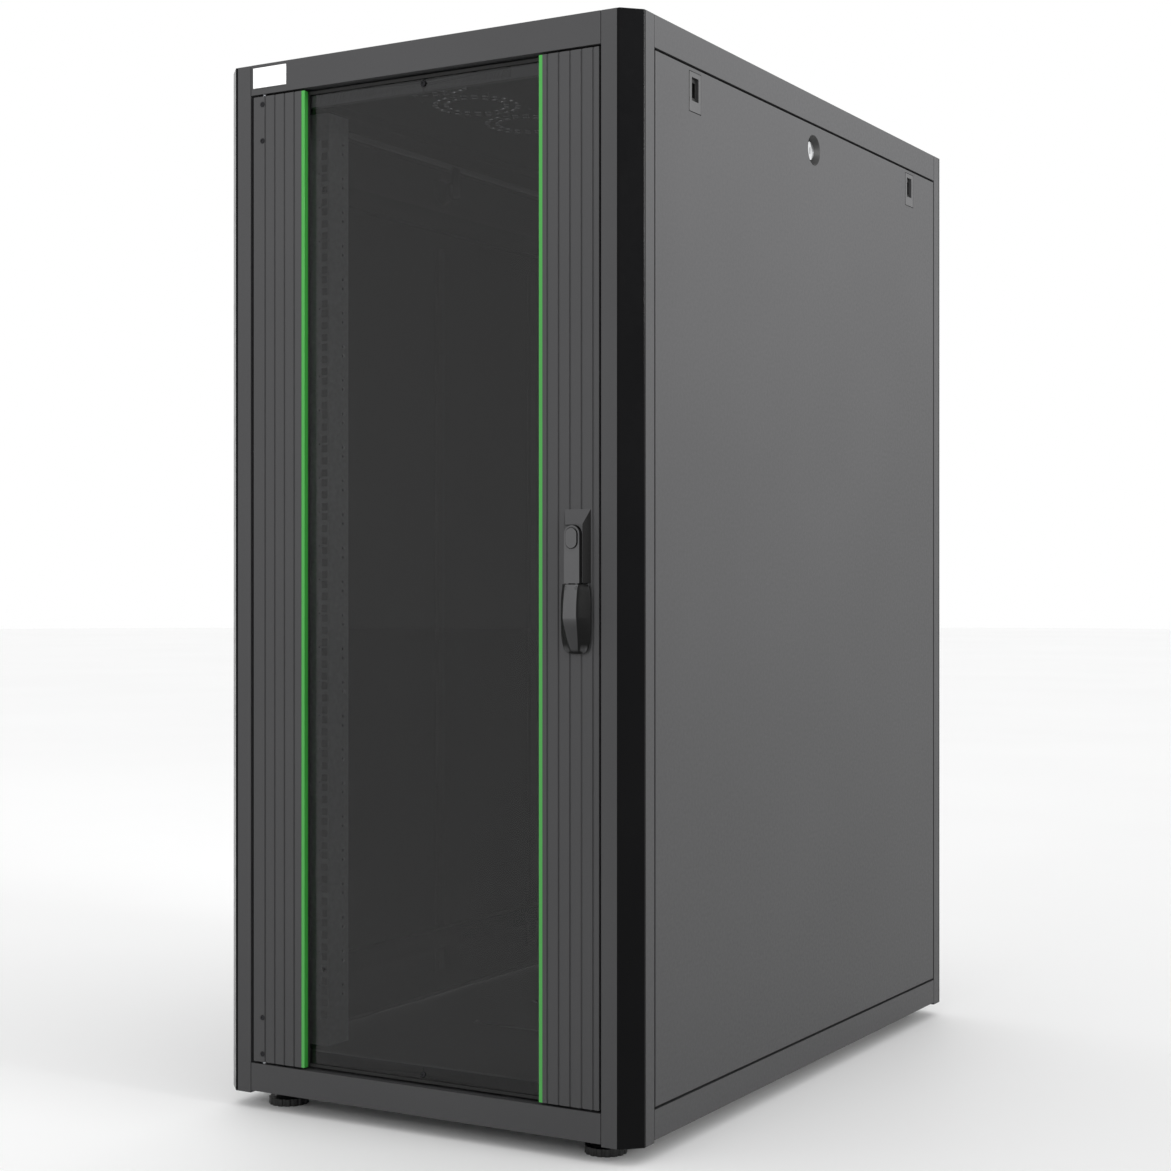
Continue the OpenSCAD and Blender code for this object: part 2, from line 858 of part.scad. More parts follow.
module rear_lock_core() {
    color(zinc) turned_back() difference() {
        union() {
            bar_y([lock_x, front - rear_lock_out, z_mid], 7, rear_lock_out + 25);
            span([lock_x - 9, front + 22, z_mid - 9], [door_x1 - 2, front + 25, z_mid + 9]);
        }
        span([lock_x - 0.8, front - rear_lock_out - 1, z_mid - 4], [lock_x + 0.8, front, z_mid + 4]);
    }
}

// ---- side panels, drawn on the +X side ----

module latch_places() {
    for (y = [front + latch_y, back - latch_y]) translate([half_w, y, latch_z]) children();
}

module side_panel() {
    difference() {
        span([half_w - tray, panel_y0, panel_lo], [half_w, panel_y1, panel_hi]);
        span([half_w - tray - 1, panel_y0 + skin, panel_lo + skin], [half_w - skin, panel_y1 - skin, panel_hi - skin]);
        latch_places() {
            span([-skin - 1, -latch_w / 2 - 1, -1], [1, latch_w / 2 + 1, latch_h + 0.5]);
            span([-18, -10, latch_h + 1], [-3, 10, latch_drop + 1]);
        }
        bar_x([half_w - 5, y_mid, lock_z], dish_r, 10);
    }
}

module side_panel_right() {
    color(grey) side_panel();
}

module side_panel_left() {
    color(grey) mirror([1, 0, 0]) side_panel();
}

module side_stiffeners() {
    for (y = [-260, 0, 260]) translate([half_w - skin, y_mid + y, panel_lo + 30])
        rotate([0, 0, 90]) hat(panel_hi - panel_lo - 150, 12);
}

module side_stiffeners_right() {
    color(inner_grey) side_stiffeners();
}

module side_stiffeners_left() {
    color(inner_grey) mirror([1, 0, 0]) side_stiffeners();
}

// Housing set flush in the panel, with the finger slot and a pocket for the slide
module latch_housing() {
    difference() {
        union() {
            span([-skin - 0.5, -latch_w / 2, 0], [0, latch_w / 2, latch_h]);
            span([-19, -latch_w / 2 - 4, -2], [-skin, latch_w / 2 + 4, latch_h + 1]);
        }
        span([-3.5, -9, 13], [1, 9, 41]);
        span([-17, -9, 3], [-3, 9, latch_h + 5]);
    }
}

module latch_housings_right() {
    color(grey) latch_places() latch_housing();
}

module latch_housings_left() {
    color(grey) mirror([1, 0, 0]) latch_places() latch_housing();
}

// Slide that a finger draws down; its upper end is the bolt
module latch_slide() {
    difference() {
        span([-16.5, -8.4, 12], [-4, 8.4, latch_h + 4.5]);
        span([-10, -6.5, 18], [-3, 6.5, 36]);
    }
}

module latch_slide_front_right() {
    color(black) translate([half_w, front + latch_y, latch_z]) latch_slide();
}

module latch_slide_rear_right() {
    color(black) translate([half_w, back - latch_y, latch_z]) latch_slide();
}

module latch_slide_front_left() {
    color(black) mirror([1, 0, 0]) translate([half_w, front + latch_y, latch_z]) latch_slide();
}

module latch_slide_rear_left() {
    color(black) mirror([1, 0, 0]) translate([half_w, back - latch_y, latch_z]) latch_slide();
}

// Conical dish sunk in the panel, carrying the lock barrel
module side_lock() {
    translate([half_w, y_mid, lock_z]) rotate([0, 90, 0]) rotate_extrude($fn = fine)
        polygon([[dish_r, -skin], [dish_r, 0], [core_r + 1, -8], [core_r + 0.05, -8], [core_r + 0.05, -20],
            [core_r + 3, -20], [core_r + 3, -9.5]]);
}

module side_lock_right() {
    color(grey) side_lock();
}

module side_lock_left() {
    color(grey) mirror([1, 0, 0]) side_lock();
}

// Turning core with its cam
module side_core() {
    translate([half_w, y_mid, lock_z]) difference() {
        union() {
            bar_x([-24, 0, 0], core_r, 18);
            span([-27, -9, -9], [-24, 9, panel_hi + 1 - lock_z]);
        }
        span([-9, -1, -4.5], [0, 1, 4.5]);
    }
}

module side_core_right() {
    color(zinc) side_core();
}

module side_core_left() {
    color(zinc) mirror([1, 0, 0]) side_core();
}

// ---- levelling feet ----

// Round pad with a scalloped rim on a threaded stem
module foot(x, y) {
    color(black) translate([x, y, 0]) {
        difference() {
            cylinder(r = foot_r, h = pad_h, $fn = fine);
            for (i = [0 : 15]) rotate(i * 22.5) translate([foot_r + 1.6, 0, -1]) cylinder(r = 3, h = pad_h + 2, $fn = 16);
        }
        translate([0, 0, pad_h - eps]) cylinder(r1 = 18, r2 = 11, h = 6, $fn = fine);
        cylinder(r = stem_r, h = stem_top, $fn = fine);
    }
}

module foot_front_left() {
    foot(-foot_x, front + foot_y);
}

module foot_front_right() {
    foot(foot_x, front + foot_y);
}

module foot_rear_left() {
    foot(-foot_x, back - foot_y);
}

module foot_rear_right() {
    foot(foot_x, back - foot_y);
}

corner_posts();
corner_trims();
cross_beams();
side_beams();
foot_brackets();
foot_nuts();
roof_panel();
floor_panel();
cable_covers();
cable_brushes();
depth_rails();
front_rails();
rear_rails();
frame_bolts();
badge();
hinge_bushes();
column_left();
column_right();
door_bars();
green_strips();
glass_pane();
glass_gasket();
hinge_blocks();
hinge_pins();
door_screws();
rod_guides();
handle_base();
handle_hub();
handle_pinion();
handle_grip();
lever_pin();
lock_cylinder();
lock_cover();
rod_top();
rod_bottom();
rear_skin();
rear_stiffeners();
rear_hinge_blocks();
rear_hinge_pins();
rear_lock_body();
rear_lock_core();
side_panel_left();
side_panel_right();
side_stiffeners_left();
side_stiffeners_right();
latch_housings_left();
latch_housings_right();
latch_slide_front_left();
latch_slide_rear_left();
latch_slide_front_right();
latch_slide_rear_right();
side_lock_left();
side_lock_right();
side_core_left();
side_core_right();
foot_front_left();
foot_front_right();
foot_rear_left();
foot_rear_right();
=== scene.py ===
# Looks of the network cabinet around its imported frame. Metres, +Z up, -Y is the front.
import json
import math
import random

import bmesh
import bpy
from mathutils import Matrix, Vector


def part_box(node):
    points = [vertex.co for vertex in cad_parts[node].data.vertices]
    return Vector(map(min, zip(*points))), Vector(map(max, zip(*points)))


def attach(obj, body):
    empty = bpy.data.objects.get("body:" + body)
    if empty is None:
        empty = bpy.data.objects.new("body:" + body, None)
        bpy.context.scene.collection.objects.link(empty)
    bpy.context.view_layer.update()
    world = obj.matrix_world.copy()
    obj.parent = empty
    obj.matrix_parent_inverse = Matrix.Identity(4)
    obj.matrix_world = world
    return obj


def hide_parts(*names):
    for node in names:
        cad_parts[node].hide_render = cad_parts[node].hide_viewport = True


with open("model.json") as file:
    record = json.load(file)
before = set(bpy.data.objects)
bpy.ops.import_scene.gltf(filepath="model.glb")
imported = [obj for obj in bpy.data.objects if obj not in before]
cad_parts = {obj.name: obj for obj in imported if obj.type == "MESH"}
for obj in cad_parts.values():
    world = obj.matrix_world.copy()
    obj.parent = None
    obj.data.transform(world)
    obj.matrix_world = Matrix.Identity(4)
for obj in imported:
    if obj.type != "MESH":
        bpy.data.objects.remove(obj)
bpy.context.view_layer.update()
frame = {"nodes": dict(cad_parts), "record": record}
NODES = frame["nodes"]
BODY_OF = {node: body for body, members in frame["record"]["behaviour"]["bodies"].items()
           for node in members}
SLOT_OF = {part["node"]: part["material_slot"] for part in frame["record"]["subparts"]}
MM = 0.001
WELD = 0.01 * MM


# ---- materials ----

NOISE_RANGE = (0.3, 0.7)        # the part of a noise texture's output that is used
BUMP_DEPTH = 0.2 * MM
EVEN = (1, 1, 1)
DRAWN_UP = (1, 1, 0.05)         # grain that runs along Z
DRAWN_ACROSS = (0.05, 1, 1)     # grain that runs along X
MIX_A, MIX_B, MIX_RESULT = 6, 7, 2      # colour sockets of a Mix node


def srgb(r, g, b):
    """Linear colour with alpha from an 8-bit sRGB colour."""
    def linear(v):
        v /= 255
        return v / 12.92 if v < 0.04045 else ((v + 0.055) / 1.055) ** 2.4
    return (linear(r), linear(g), linear(b), 1)


def shade(colour, factor):
    return tuple(c * factor for c in colour[:3]) + (1,)


class Shader:
    """A Principled material with short calls for the textures that drive it."""

    def __init__(self, name):
        self.mat = bpy.data.materials.new(name)
        self.mat.use_nodes = True
        self.tree = self.mat.node_tree
        self.bsdf = self.tree.nodes["Principled BSDF"]
        coord = self.add("ShaderNodeTexCoord")
        self.place, self.normal = coord.outputs["Object"], coord.outputs["Normal"]

    def add(self, kind, **settings):
        node = self.tree.nodes.new(kind)
        for key, value in settings.items():
            setattr(node, key, value)
        return node

    def link(self, source, target):
        self.tree.links.new(source, target)

    def drive(self, name, source):
        self.link(source, self.bsdf.inputs[name])

    def set(self, **values):
        for key, value in values.items():
            self.bsdf.inputs[key.replace("_", " ")].default_value = value

    def ramp(self, source, start, end, low=0, high=1):
        """Maps start..end to low..high and holds the value past both ends."""
        node = self.add("ShaderNodeMapRange")
        for name, value in (("From Min", start), ("From Max", end), ("To Min", low), ("To Max", high)):
            node.inputs[name].default_value = value
        self.link(source, node.inputs["Value"])
        return node.outputs["Result"]

    def noise(self, scale, detail, stretch=EVEN):
        mapping = self.add("ShaderNodeMapping")
        mapping.inputs["Scale"].default_value = stretch
        self.link(self.place, mapping.inputs["Vector"])
        tex = self.add("ShaderNodeTexNoise")
        tex.inputs["Scale"].default_value = scale
        tex.inputs["Detail"].default_value = detail
        self.link(mapping.outputs["Vector"], tex.inputs["Vector"])
        return tex.outputs["Fac"]

    def drift(self, scale, detail, low=0, high=1, stretch=EVEN):
        """Noise that wanders between two values."""
        return self.ramp(self.noise(scale, detail, stretch), *NOISE_RANGE, low, high)

    def mix(self, factor, a, b):
        """Blends two colours, each a fixed colour or a socket."""
        node = self.add("ShaderNodeMix", data_type="RGBA")
        self.link(factor, node.inputs["Factor"])
        for socket, value in ((node.inputs[MIX_A], a), (node.inputs[MIX_B], b)):
            if isinstance(value, tuple):
                socket.default_value = value
            else:
                self.link(value, socket)
        return node.outputs[MIX_RESULT]

    def colour(self, factor, a, b):
        self.drive("Base Color", self.mix(factor, a, b))

    def rough(self, scale, detail, low, high, stretch=EVEN):
        self.drive("Roughness", self.drift(scale, detail, low, high, stretch))

    def bump(self, height, strength):
        node = self.add("ShaderNodeBump")
        node.inputs["Strength"].default_value = strength
        node.inputs["Distance"].default_value = BUMP_DEPTH
        self.link(height, node.inputs["Height"])
        self.drive("Normal", node.outputs["Normal"])


def powder_coat(name, colour, rough=0.48, grain=0.35):
    """Baked textured paint: fine orange peel, a faint drift of tone and of gloss."""
    s = Shader(name)
    s.colour(s.drift(3.5, 2), shade(colour, 0.965), shade(colour, 1.03))
    s.rough(240, 4, rough - 0.05, rough + 0.06)
    s.bump(s.noise(1100, 3), grain)
    s.set(Specular_IOR_Level=0.25)
    return s.mat


def glossy_black(name):
    s = Shader(name)
    s.colour(s.drift(6, 3), srgb(5, 5, 6), srgb(8, 8, 9))
    s.rough(90, 5, 0.16, 0.24)
    s.bump(s.noise(40, 2), 0.05)
    s.set(Specular_IOR_Level=0.08)
    return s.mat


def moulded(name, colour, rough=0.45):
    """Moulded plastic with a spark-eroded texture."""
    s = Shader(name)
    s.colour(s.drift(9, 3), shade(colour, 0.9), shade(colour, 1.12))
    s.rough(400, 4, rough - 0.07, rough + 0.08)
    s.bump(s.noise(1800, 2), 0.3)
    return s.mat


def rubber(name):
    s = Shader(name)
    s.colour(s.drift(30, 4), srgb(12, 12, 12), srgb(24, 24, 24))
    s.rough(500, 3, 0.6, 0.75)
    s.bump(s.noise(900, 3), 0.25)
    return s.mat


def bare_metal(name, colour, rough, stretch=EVEN, grain=0.12, metallic=1.0):
    s = Shader(name)
    s.colour(s.drift(60, 5, stretch=stretch), shade(colour, 0.86), shade(colour, 1.05))
    s.rough(160, 5, rough * 0.7, rough * 1.3, stretch)
    s.bump(s.noise(500, 4, stretch), grain)
    s.set(Metallic=metallic)
    return s.mat


def galvanised(name):
    """Hot-dip sheet: a satin grey with the flat crystal pattern of the zinc."""
    s = Shader(name)
    crystals = s.add("ShaderNodeTexVoronoi")
    crystals.inputs["Scale"].default_value = 160
    s.link(s.place, crystals.inputs["Vector"])
    pattern = crystals.outputs["Distance"]
    zinc = srgb(222, 223, 225)
    s.colour(pattern, shade(zinc, 0.85), shade(zinc, 1.05))
    s.rough(120, 4, 0.42, 0.6)
    s.bump(pattern, 0.06)
    s.set(Metallic=0.15)
    return s.mat


def accent(name):
    """Green strip with a satin clear coat and a faint drawn grain along its length."""
    s = Shader(name)
    green = srgb(52, 145, 54)
    s.colour(s.drift(30, 3, stretch=DRAWN_UP), shade(green, 0.9), shade(green, 1.06))
    s.rough(300, 4, 0.3, 0.42, DRAWN_UP)
    s.bump(s.noise(800, 2, DRAWN_UP), 0.1)
    s.set(Coat_Weight=0.3, Coat_Roughness=0.12)
    return s.mat


def smoked_glass(name):
    s = Shader(name)
    s.colour(s.drift(2.5, 3), (0.36, 0.365, 0.365, 1), (0.39, 0.395, 0.395, 1))
    s.set(Transmission_Weight=1.0, IOR=1.36, Roughness=0.0)
    return s.mat


# Limits on a surface normal between which the paint colour fades into painted shade
FACES_FRONT = (-0.8, -0.68)     # Y
FACES_ASIDE = (0.28, 0.42)      # X, either way
FACES_DOWN = (-0.5, -0.38)      # Z
LEANS_DOWN = (-0.28, -0.12)     # Z
# Faces leaning down take the paint colour darkened by this factor, as painted shade
DOWNWARD_SHADE = 0.42


def paint_and_facing_shade(name, paint_colour, body_and_shade_colour):
    """Paint on faces turned to the front; sides and undersides get the dark colour, which stands for a
    black moulded body and for painted shade; the split follows the way the surface faces.
    """
    s = Shader(name)
    facing = s.add("ShaderNodeSeparateXYZ")
    s.link(s.normal, facing.inputs["Vector"])
    aside = s.add("ShaderNodeMath", operation="ABSOLUTE")
    s.link(facing.outputs["X"], aside.inputs[0])
    # Mask of the faces turned to the front; sides and undersides fall to the dark colour as painted
    # shade
    unshaded = s.ramp(facing.outputs["Y"], *FACES_FRONT, 1, 0)
    for limit in (s.ramp(aside.outputs[0], *FACES_ASIDE, 1, 0),
                  s.ramp(facing.outputs["Z"], *FACES_DOWN)):
        both = s.add("ShaderNodeMath", operation="MINIMUM")
        s.link(unshaded, both.inputs[0])
        s.link(limit, both.inputs[1])
        unshaded = both.outputs[0]
    paint_and_shade = s.mix(s.drift(20, 3), shade(paint_colour, 0.97), shade(paint_colour, 1.03))
    # Faces leaning down: painted shade, the paint colour darkened
    paint_and_shade = s.mix(s.ramp(facing.outputs["Z"], *LEANS_DOWN), shade(paint_colour, DOWNWARD_SHADE), paint_and_shade)
    s.colour(unshaded, body_and_shade_colour, paint_and_shade)
    s.rough(300, 4, 0.4, 0.52)
    s.bump(s.noise(1500, 2), 0.2)
    s.set(Specular_IOR_Level=0.1)
    return s.mat


GREY = srgb(63, 63, 64)
# Black of the moulded plastic, also laid as painted shade on the handle's sides and undersides
PLASTIC_BLACK_AND_SHADE = srgb(12, 12, 12)
SLOTS = {
    "painted_grey": powder_coat("painted_grey", GREY),
    "column_grey": powder_coat("column_grey", GREY, rough=0.42, grain=0.22),
    # Inside surfaces a little darker than the outside grey: painted shade for the dim inside of the
    # cabinet
    "inner_grey": powder_coat("inner_grey", srgb(58, 58, 59), rough=0.5),
    "housing_grey": moulded("housing_grey", GREY),
    "trim_black": glossy_black("trim_black"),
    "black_plastic": moulded("black_plastic", PLASTIC_BLACK_AND_SHADE),
    "brush_black": moulded("brush_black", srgb(22, 22, 22), rough=0.7),
    "badge_white": moulded("badge_white", srgb(236, 236, 236), rough=0.3),
    "accent_green": accent("accent_green"),
    "smoked_glass": smoked_glass("smoked_glass"),
    "seal_black": rubber("seal_black"),
    "screw_black": bare_metal("screw_black", srgb(50, 50, 52), 0.35),
    "zinc_steel": bare_metal("zinc_steel", srgb(205, 207, 210), 0.3),
    "rail_steel": galvanised("rail_steel"),
    "bar_aluminium": bare_metal("bar_aluminium", srgb(108, 108, 110), 0.5, DRAWN_ACROSS, metallic=0.4),
    "chrome_lock": bare_metal("chrome_lock", srgb(232, 233, 235), 0.12, grain=0.03),
    # Lever: paint on its front faces, painted shade on its sides and undersides
    "lever_grey": paint_and_facing_shade("lever_grey", srgb(84, 84, 85), PLASTIC_BLACK_AND_SHADE),
}
OWN_FINISH = {
    # Handle housing: paint on its front faces, painted shade on its sides and undersides
    "handle_base": paint_and_facing_shade("handle_housing", srgb(72, 72, 73), PLASTIC_BLACK_AND_SHADE),
    # The galvanised depth rails drawn in dark grey: painted shade inside the cabinet
    "depth_rails": powder_coat("rail_painted_shade", srgb(38, 38, 39), rough=0.5),
    "side_lock_left": SLOTS["black_plastic"],
    "side_lock_right": SLOTS["black_plastic"],
}


# ---- CAD nodes: materials and softened edges ----

# Edge radius in mm of the nodes whose edges catch the light
EDGES = {
    0.8: ("cross_beams", "side_beams", "rear_skin", "side_panel_left", "side_panel_right"),
    0.5: ("corner_posts", "corner_trims", "door_bars", "badge", "depth_rails"),
    0.6: ("column_left", "column_right"),
    0.3: ("green_strips", "glass_pane", "latch_housings_left", "latch_housings_right"),
}
# The holed faces of these nodes shade wrongly once they are joined up
KEEP_FACES = ("side_panel_left", "side_panel_right")
FLAT_ANGLE = math.radians(1)
FOLD_ANGLE = math.radians(35)


def add_bevel(obj, width):
    mod = obj.modifiers.new("edge", "BEVEL")
    mod.width = width
    mod.segments = 2
    mod.limit_method = "ANGLE"
    mod.angle_limit = FOLD_ANGLE


def soften(node, width):
    """Rounds a node's edges: flat faces are joined up first, then every fold gets a small radius."""
    obj = NODES[node]
    weld = obj.modifiers.new("weld", "WELD")
    weld.merge_threshold = WELD
    if node not in KEEP_FACES:
        flat = obj.modifiers.new("flat", "DECIMATE")
        flat.decimate_type = "DISSOLVE"
        flat.angle_limit = FLAT_ANGLE
    add_bevel(obj, width)


for name, obj in NODES.items():
    obj.data.materials.clear()
    obj.data.materials.append(OWN_FINISH.get(name, SLOTS[SLOT_OF[name]]))
for width, members in EDGES.items():
    for member in members:
        soften(member, width * MM)
# Light has to reach the inside of the cabinet through the pane
NODES["glass_pane"].visible_shadow = False


# ---- piece building ----

def mesh_object(name, bm):
    """Turns a bmesh into an object of the scene."""
    mesh = bpy.data.meshes.new(name)
    bm.to_mesh(mesh)
    bm.free()
    obj = bpy.data.objects.new(name, mesh)
    bpy.context.scene.collection.objects.link(obj)
    return obj


def piece(name, bm, slot, node, smooth=True):
    """Makes a visual piece that rides on a CAD node's body and stands for that node."""
    bmesh.ops.recalc_face_normals(bm, faces=bm.faces)
    obj = mesh_object(name, bm)
    for poly in obj.data.polygons:
        poly.use_smooth = smooth
    obj.data.materials.append(SLOTS[slot])
    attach(obj, BODY_OF[node])
    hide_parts(node)
    return obj


def lathe(bm, profile, place, segments=48):
    """Turns (radius, height) points about local Z, closing onto the axis where the radius is 0."""
    rings = []
    for radius, height in profile:
        turns = [2 * math.pi * i / segments for i in range(segments if radius else 1)]
        rings.append([
            bm.verts.new(place @ Vector((radius * math.cos(a), radius * math.sin(a), height)))
            for a in turns])
    for low, high in zip(rings, rings[1:]):
        for i in range(segments):
            j = (i + 1) % segments
            corners = []
            for ring, k in ((low, i), (low, j), (high, j), (high, i)):
                vert = ring[k % len(ring)]
                if vert not in corners:
                    corners.append(vert)
            if len(corners) > 2:
                bm.faces.new(corners)


def loft(bm, sections):
    """Skins a list of closed sections with equal point counts and caps both ends."""
    rings = [[bm.verts.new(p) for p in section] for section in sections]
    count = len(rings[0])
    for low, high in zip(rings, rings[1:]):
        for i in range(count):
            j = (i + 1) % count
            bm.faces.new((low[i], low[j], high[j], high[i]))
    bm.faces.new(rings[0])
    bm.faces.new(rings[-1])


def box_at(bm, lo, hi):
    lo, hi = Vector(lo), Vector(hi)
    place = Matrix.Translation((lo + hi) / 2) @ Matrix.Diagonal((*(hi - lo), 1))
    bmesh.ops.create_cube(bm, size=1, matrix=place)


def islands(node):
    """Boxes of the separate solids in a CAD node."""
    bm = bmesh.new()
    bm.from_mesh(NODES[node].data)
    bmesh.ops.remove_doubles(bm, verts=bm.verts, dist=WELD)
    left = set(bm.verts)
    boxes = []
    while left:
        todo = [left.pop()]
        found = list(todo)
        while todo:
            for edge in todo.pop().link_edges:
                for vert in edge.verts:
                    if vert in left:
                        left.remove(vert)
                        todo.append(vert)
                        found.append(vert)
        axes = list(zip(*(vert.co for vert in found)))
        boxes.append((Vector([min(axis) for axis in axes]), Vector([max(axis) for axis in axes])))
    bm.free()
    return sorted(boxes, key=lambda box: tuple(box[0]))


# ---- grip ----

# In mm, from the bottom end up: height above the tilt axis, half width at the base, half width
# and stand-off of the raised face
GRIP = (
    (-74.4, 7.5, 4.5, 5.0), (-74.2, 10.5, 5.2, 6.0), (-72.5, 14.0, 5.8, 7.4), (-69, 16.6, 6.6, 9.0),
    (-63, 18.4, 7.7, 11.2), (-57, 19.6, 8.6, 13.2), (-48, 20.2, 9.6, 16.0), (-40, 20.4, 10.3, 18.3),
    (-35, 20.5, 10.6, 19.5), (-32.5, 20.5, 10.6, 19.9), (-30, 20.5, 10.5, 19.9),
    (-20, 20.4, 10.4, 19.5), (-14, 20.2, 10.3, 18.9), (-6, 19.7, 10.2, 17.6), (0, 18.7, 10.1, 16.7),
    (3.2, 17.8, 10.1, 15.7), (5.2, 17.2, 10.1, 14.6), (5.7, 17, 10, 14.0),
)
# Stand-off of the back in mm, which is greater above GRIP_TOP, where it passes over the hub
GRIP_BACK, GRIP_BACK_TOP, GRIP_TOP = 3.2, 6, 5
CROWN = 0.35
# Points across half the raised face: part of its half width, and depth below its middle in crowns
FACE_SHAPE = ((0, 0), (0.4, 0.2), (0.68, 1), (0.86, 2.4), (1, 5))
FLANK_STEPS = 4
SLOT_RADIUS, SLOT_HALF, SLOT_OFFSET = 5.2 * MM, 1.7 * MM, 6 * MM


def grip_section(z, base, face, out):
    """Half-open D shape: flat back, slanted sides and a crowned face with soft shoulders."""
    back = GRIP_BACK if z < GRIP_TOP else GRIP_BACK_TOP
    half = [(face * part, out - CROWN * drop) for part, drop in FACE_SHAPE]
    shoulder, foot = half[-1][1], back + 0.9
    for i in range(1, FLANK_STEPS + 1):
        t = i / FLANK_STEPS
        half.append((face + (base - face) * t, shoulder * (1 - t) + foot * t))
    half += [(base - 0.6, back), (base * 0.5, back)]
    ring = half + [(0, back)] + [(-x, y) for x, y in reversed(half[1:])]
    return [(x, -y, z) for x, y in ring]


def cut_slots(obj, axis):
    """Takes the two slots for the hub's lugs out of the finished shell."""
    disc = ((0, -SLOT_HALF), (SLOT_RADIUS, -SLOT_HALF), (SLOT_RADIUS, SLOT_HALF), (0, SLOT_HALF))
    slots = bmesh.new()
    for side in (-1, 1):
        middle = axis + Vector((side * SLOT_OFFSET, 0, 0))
        lathe(slots, disc, Matrix.Translation(middle) @ Matrix.Rotation(math.pi / 2, 4, "Y"))
    bmesh.ops.recalc_face_normals(slots, faces=slots.faces)
    cutter = mesh_object("slots", slots)
    cut = obj.modifiers.new("slots", "BOOLEAN")
    cut.object = cutter
    cut.solver = "EXACT"
    bpy.context.view_layer.update()
    finished = obj.evaluated_get(bpy.context.evaluated_depsgraph_get())
    result = bpy.data.meshes.new_from_object(finished)
    obj.modifiers.clear()
    obj.data = result
    bpy.data.objects.remove(cutter)


def make_grip():
    lo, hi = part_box("lever_pin")
    axis = (lo + hi) / 2
    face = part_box("column_right")[0].y
    bm = bmesh.new()
    loft(bm, [[(axis.x + x * MM, face + y * MM, axis.z + z * MM) for x, y, z in grip_section(*row)]
              for row in GRIP])
    obj = piece("grip_shell", bm, "lever_grey", "handle_grip")
    sub = obj.modifiers.new("round", "SUBSURF")
    sub.levels = sub.render_levels = 2
    cut_slots(obj, axis)


# ---- screws and brushes ----

# A screw head's outline from its drive socket to its underside, in head radii and head heights
HEAD_SHAPE = ((0, 0.7), (0.3, 0.66), (0.36, 0.06), (0.6, 0), (0.86, 0.14), (1, 0.5), (1, 1), (0.5, 1))
SHORT_SCREW, SHORT_HEAD, LONG_HEAD = 8 * MM, 1 * MM, 2 * MM
SCREW_EDGE = 0.12 * MM

BRUSH_RIM, BRUSH_REACH, BRUSH_LEVEL = 6 * MM, 36 * MM, 4 * MM
TUFTS, TUFT_HALF = 250, 0.42 * MM
TUFT_CORNERS = tuple((dx * TUFT_HALF, dz * TUFT_HALF) for dx, dz in ((-1, -1), (1, -1), (1, 1), (-1, 1)))
# Most that a tuft's tip may stray, in mm
LEAN, FALL_SHORT, LIFT = 0.5, 1.5, 0.6


def make_screws():
    """Button-head screws with a round drive socket and a rolled edge."""
    bm = bmesh.new()
    for lo, hi in islands("door_screws"):
        radius = (hi.x - lo.x) / 2
        length = hi.y - lo.y
        head = SHORT_HEAD if length < SHORT_SCREW else LONG_HEAD
        middle = Vector((lo.x + radius, lo.y, lo.z + radius))
        outline = [(r * radius, h * head) for r, h in HEAD_SHAPE]
        shank = [(0.5 * radius, length), (0, length)]
        lathe(bm, outline + shank,
              Matrix.Translation(middle) @ Matrix.Rotation(-math.pi / 2, 4, "X"), 32)
    obj = piece("door_screw_heads", bm, "screw_black", "door_screws")
    add_bevel(obj, SCREW_EDGE)


def make_brushes():
    """Two facing rows of bristles in a moulded frame; every tuft leans a little its own way."""
    stray = random.Random(7).uniform
    bm = bmesh.new()
    for lo, hi in islands("cable_brushes"):
        left, right = lo.x + BRUSH_RIM, hi.x - BRUSH_RIM
        for x0, x1 in ((lo.x, left), (right, hi.x)):
            box_at(bm, (x0, lo.y, lo.z), (x1, hi.y, hi.z))
        z = lo.z + BRUSH_LEVEL
        for edge, side in ((lo.y, 1), (hi.y, -1)):
            root = edge + side * BRUSH_RIM
            box_at(bm, (left, min(edge, root), lo.z), (right, max(edge, root), hi.z))
            for i in range(TUFTS):
                x = left + (right - left) * (i + 0.5) / TUFTS
                lean = x + stray(-LEAN, LEAN) * MM
                lean = min(max(lean, left + TUFT_HALF), right - TUFT_HALF)
                reach = BRUSH_REACH - stray(0, FALL_SHORT) * MM
                tip = (lean, edge + side * reach, z + stray(-LIFT, LIFT) * MM)
                loft(bm, [[(px + dx, py, pz + dz) for dx, dz in TUFT_CORNERS]
                          for px, py, pz in ((x, root - side * MM, z), tip)])
    piece("cable_bristles", bm, "brush_black", "cable_brushes", smooth=False)


make_grip()
make_screws()
make_brushes()


# ---- camera, light, floor ----

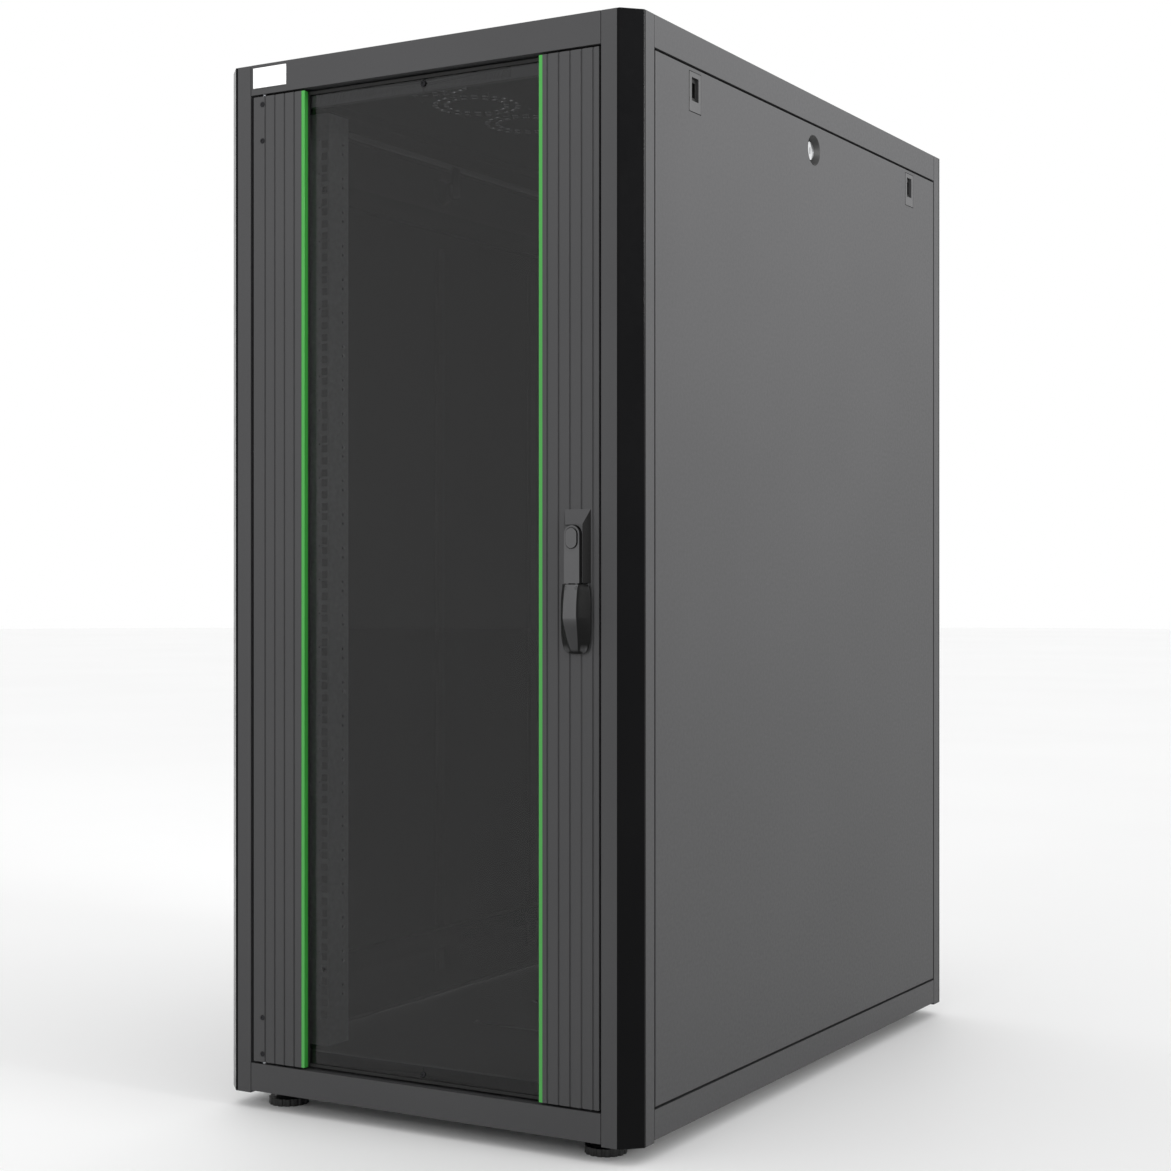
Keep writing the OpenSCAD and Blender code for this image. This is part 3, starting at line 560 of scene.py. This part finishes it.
CAMERA_PLACE = (1.4215, -2.5506, 0.6621)
CAMERA_TURN = math.radians(29.97)
LENS, SENSOR = 63.63, 36        # mm

LIGHT_SIZE = (1.2, 1.0)
LIGHT_SPREAD = math.radians(70)
KEY_POWER, FRONT_POWER = 32, 11     # W

FLOOR_RADIUS = 30


def camera():
    """Level, turned 30 degrees to the cabinet's right."""
    data = bpy.data.cameras.new("camera")
    data.sensor_width = SENSOR
    data.lens = LENS
    obj = bpy.data.objects.new("camera", data)
    obj.location = CAMERA_PLACE
    obj.rotation_euler = (math.pi / 2, 0, CAMERA_TURN)
    bpy.context.scene.collection.objects.link(obj)
    bpy.context.scene.camera = obj


def area_light(name, place, target, power):
    data = bpy.data.lights.new(name, "AREA")
    data.spread = LIGHT_SPREAD
    data.shape = "RECTANGLE"
    data.size, data.size_y = LIGHT_SIZE
    data.energy = power
    obj = bpy.data.objects.new(name, data)
    obj.location = place
    obj.rotation_euler = (Vector(target) - Vector(place)).to_track_quat("-Z", "Y").to_euler()
    bpy.context.scene.collection.objects.link(obj)
    return obj


def studio():
    """White surroundings, a key light on the right side and a weaker one in front."""
    world = bpy.data.worlds.new("studio")
    bpy.context.scene.world = world
    world.use_nodes = True
    back = world.node_tree.nodes["Background"]
    back.inputs["Color"].default_value = (1, 1, 1, 1)
    back.inputs["Strength"].default_value = 1.0
    bpy.context.scene.view_settings.view_transform = "Standard"
    area_light("key", (3.4, -0.2, 1.9), (0.3, -0.1, 1.9), KEY_POWER)
    front = area_light("front", (-0.2, -3.6, 1.9), (-0.1, -0.5, 1.9), FRONT_POWER)
    # Its sharp outline would show in the glass
    front.visible_glossy = False


def floor():
    bm = bmesh.new()
    bmesh.ops.create_circle(bm, cap_ends=True, radius=FLOOR_RADIUS, segments=64)
    s = Shader("floor_pale")
    s.colour(s.drift(0.7, 3), (0.93, 0.93, 0.93, 1), (0.95, 0.95, 0.95, 1))
    s.set(Roughness=0.6)
    obj = mesh_object("floor", bm)
    obj.data.materials.append(s.mat)


camera()
studio()
floor()
